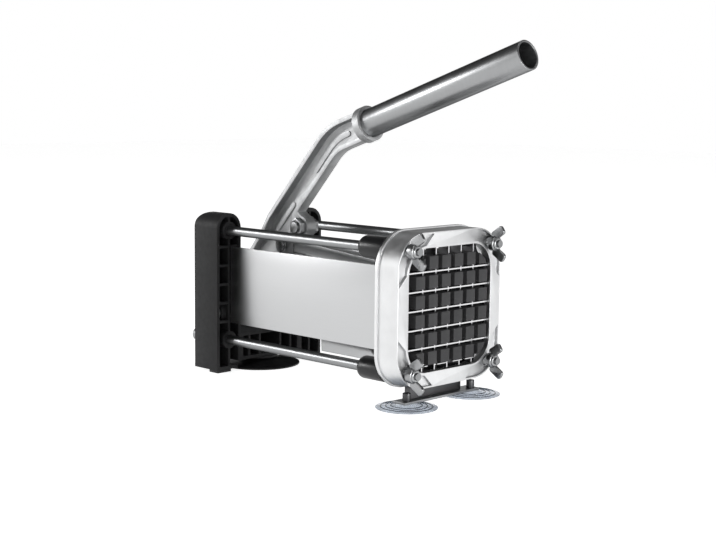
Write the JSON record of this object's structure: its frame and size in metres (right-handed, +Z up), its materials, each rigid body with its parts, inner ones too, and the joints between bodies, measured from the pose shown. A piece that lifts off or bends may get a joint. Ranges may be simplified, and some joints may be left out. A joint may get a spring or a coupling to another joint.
{
  "type": "french fry cutter",
  "caption": "Countertop potato cutter: a lever drives a finger pusher along a steel trough and through a square blade grid, on suction feet.",
  "frame": {"origin": "centre of the rear suction disc's flat underside, on the table", "axes": "+Z up, -Y towards the blade grid and the user, +X to the user's right as they face the rear housing"},
  "size_m": [0.1072, 0.2877, 0.2413],
  "materials": {
    "housing_plastic": "black ribbed moulding, fine matt",
    "foot_rubber": "black, matt",
    "rod_steel": "drawn round bar, polished",
    "hardware_steel": "zinc plated, satin",
    "dark_steel": "black oxide",
    "sleeve_plastic": "black, satin",
    "sheet_steel": "stainless sheet, brushed",
    "cast_aluminium": "die-cast, satin",
    "cartridge_plastic": "black",
    "blade_steel": "ground strip",
    "clear_vinyl": "clear soft vinyl",
    "arm_aluminium": "die-cast, tumbled",
    "tube_steel": "round tube, satin",
    "pusher_plastic": "black, satin",
    "plate_steel": "plain plate"
  },
  "bodies": {
    "base": {"rear_housing": "housing_plastic", "housing_feet": "foot_rubber", "rear_suction_disc": "foot_rubber", "rear_disc_screw": "hardware_steel", "tie_rods": "rod_steel", "rear_rod_nuts": "hardware_steel", "rod_sleeves": "sleeve_plastic", "trough": "sheet_steel", "trough_screws": "hardware_steel", "front_frame": "cast_aluminium", "blade_cartridge": "cartridge_plastic", "vertical_blades": "blade_steel", "horizontal_blades": "blade_steel", "wing_washers": "hardware_steel", "front_bracket": "plate_steel", "bracket_screws": "dark_steel", "front_cup_left": "clear_vinyl", "front_cup_right": "clear_vinyl", "cup_screws": "dark_steel", "lever_axle": "rod_steel", "axle_spacers": "sleeve_plastic", "axle_clips": "hardware_steel"},
    "lever": {"lever_arm": "arm_aluminium", "handle_tube": "tube_steel", "link_pin_upper": "hardware_steel", "link_pin_clips": "hardware_steel", "arm_bolt": "hardware_steel", "arm_bolt_nut": "hardware_steel"},
    "links": {"link_near": "arm_aluminium", "link_far": "arm_aluminium", "link_rivets": "hardware_steel"},
    "pusher": {"pusher_block": "pusher_plastic", "pusher_plate": "plate_steel", "pusher_lug": "plate_steel", "pusher_pin": "hardware_steel", "pusher_screws": "hardware_steel"},
    "wing_nut_1": {"wing_nut_1": "hardware_steel"},
    "wing_nut_2": {"wing_nut_2": "hardware_steel"},
    "wing_nut_3": {"wing_nut_3": "hardware_steel"},
    "wing_nut_4": {"wing_nut_4": "hardware_steel"}
  },
  "joints": [
    {"name": "lever_hinge", "type": "hinge", "parent": "base", "child": "lever", "pos_m": [0, -0.001, 0.044], "axis": [-1, 0, 0], "range_deg": [0, 80]},
    {"name": "pusher_slide", "type": "slide", "parent": "base", "child": "pusher", "axis": [0, 1, 0], "range_m": [0, 0.0777]},
    {"name": "link_hinge", "type": "hinge", "parent": "lever", "child": "links", "pos_m": [0, -0.035, 0.0947], "axis": [-1, 0, 0], "range_deg": [-76.2, 0]},
    {"name": "wing_nut_1_turn", "type": "hinge", "parent": "base", "child": "wing_nut_1", "pos_m": [-0.0407, -0.197, 0.1057], "axis": [0, 1, 0], "continuous": true},
    {"name": "wing_nut_2_turn", "type": "hinge", "parent": "base", "child": "wing_nut_2", "pos_m": [0.0407, -0.197, 0.1057], "axis": [0, 1, 0], "continuous": true},
    {"name": "wing_nut_3_turn", "type": "hinge", "parent": "base", "child": "wing_nut_3", "pos_m": [0.0407, -0.197, 0.0243], "axis": [0, 1, 0], "continuous": true},
    {"name": "wing_nut_4_turn", "type": "hinge", "parent": "base", "child": "wing_nut_4", "pos_m": [-0.0407, -0.197, 0.0243], "axis": [0, 1, 0], "continuous": true}
  ],
  "couplings": [
    {"joint": "pusher_slide", "follows": "lever_hinge", "m_per_rad": 0.055545},
    {"joint": "link_hinge", "follows": "lever_hinge", "ratio": -0.95113}
  ]
}
